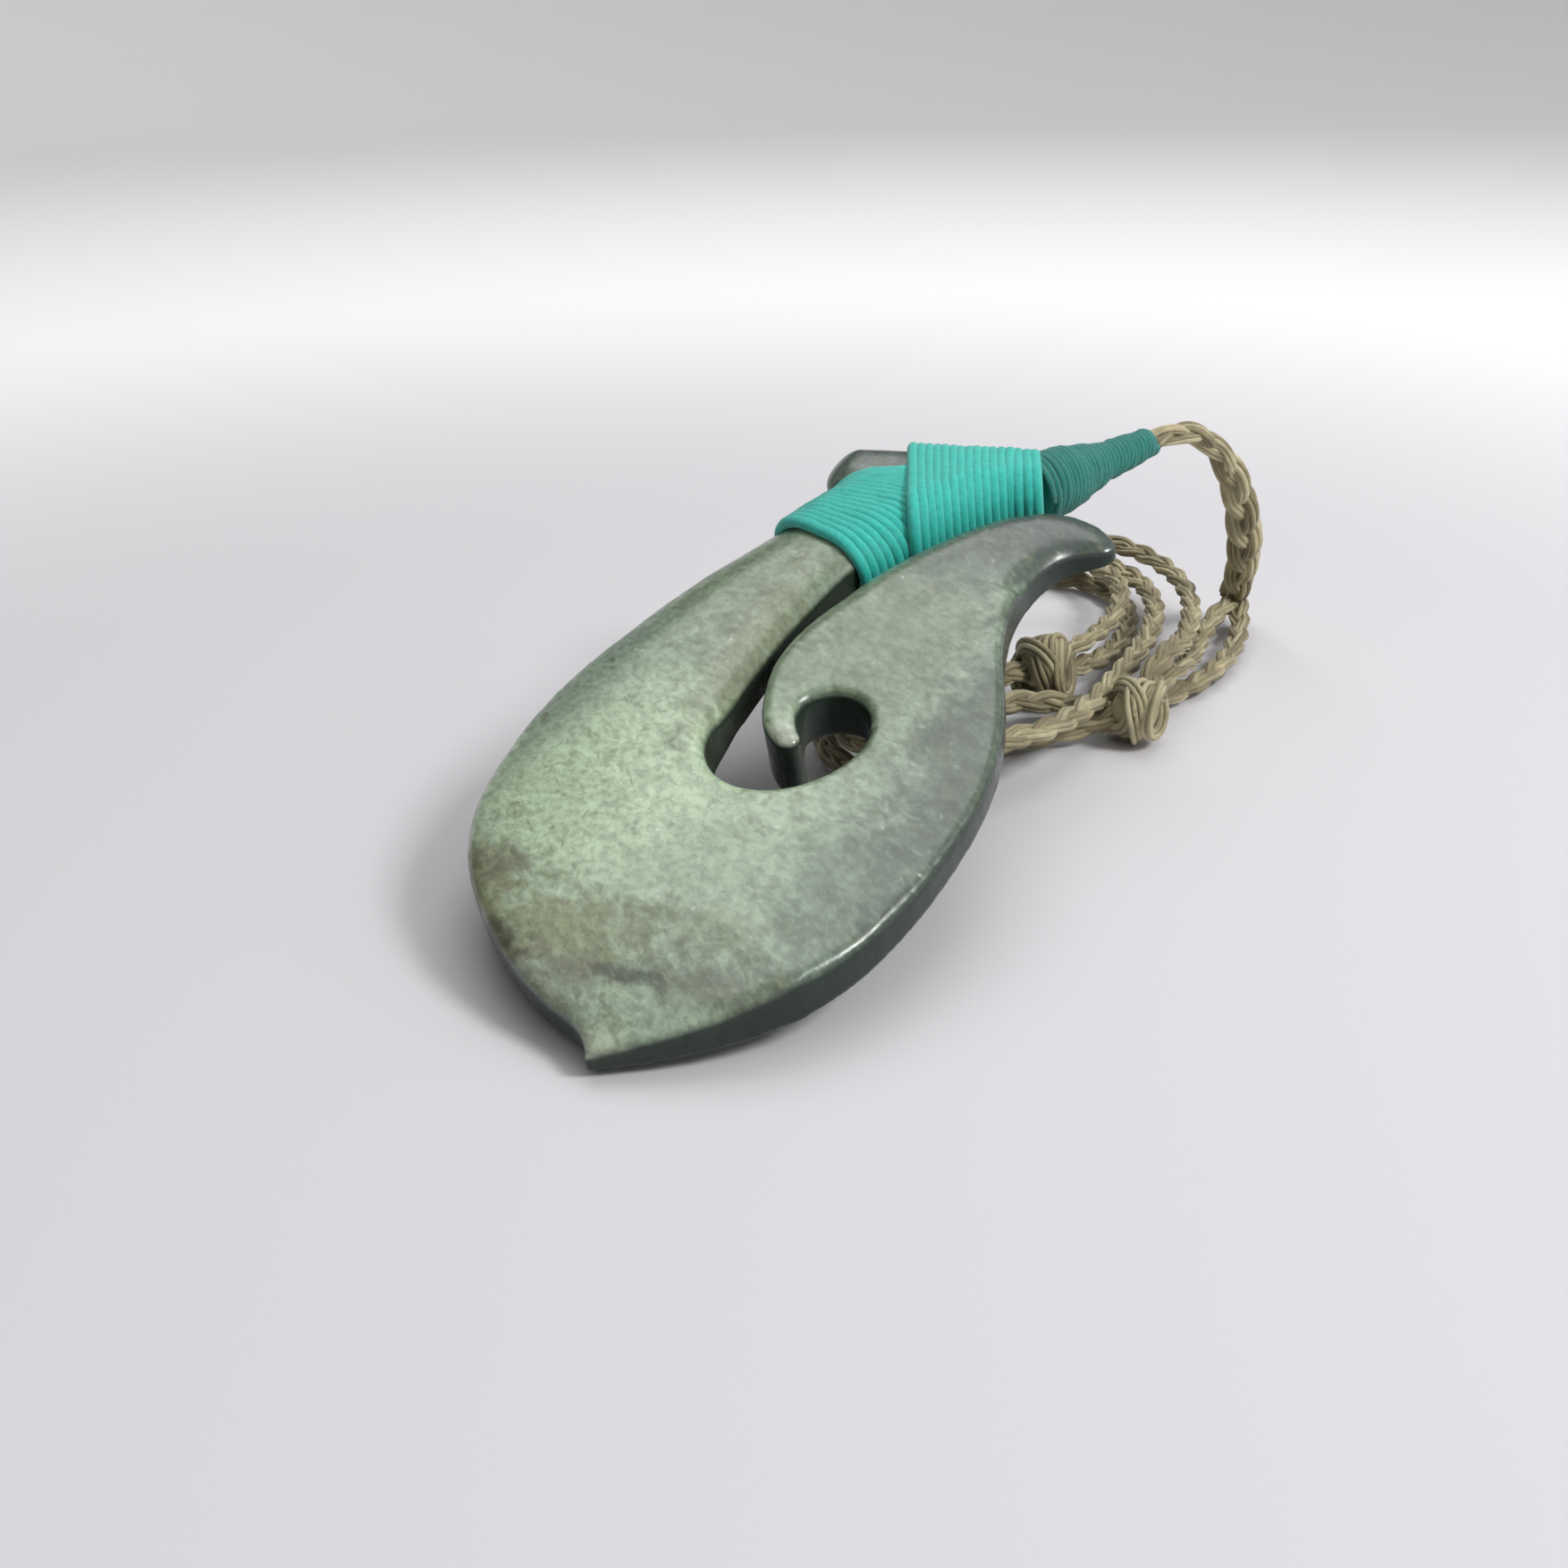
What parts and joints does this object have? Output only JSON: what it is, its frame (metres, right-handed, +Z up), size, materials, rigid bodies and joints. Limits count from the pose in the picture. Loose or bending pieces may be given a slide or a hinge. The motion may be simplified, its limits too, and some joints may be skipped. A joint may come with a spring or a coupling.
{
  "type": "hei matau pendant",
  "caption": "Flat carved greenstone fish-hook pendant with a curled barb, teal thread lashing and a plaited neck cord, lying with its head raised on the coiled cord.",
  "frame": {"origin": "on the surface that the pendant lies on, under the middle of the box round the stone and its lashing", "axes": "+Z up from the surface, +Y from the stone's tip to its lashed head, +X to the right as seen from the tip"},
  "size_m": [0.0508, 0.1212, 0.0286],
  "materials": {
    "greenstone": "polished, satin to gloss",
    "teal_thread": "waxed",
    "plaited_fibre": "waxed, matt"
  },
  "bodies": {
    "root": {"hook_stone": "greenstone", "shank_lashing": "teal_thread", "head_lashing": "teal_thread", "stem_whipping": "teal_thread", "stem_plait": "plaited_fibre", "left_plait": "plaited_fibre", "right_plait": "plaited_fibre", "neck_cord_coil": "plaited_fibre", "upper_knot": "plaited_fibre", "lower_knot": "plaited_fibre"}
  },
  "joints": []
}
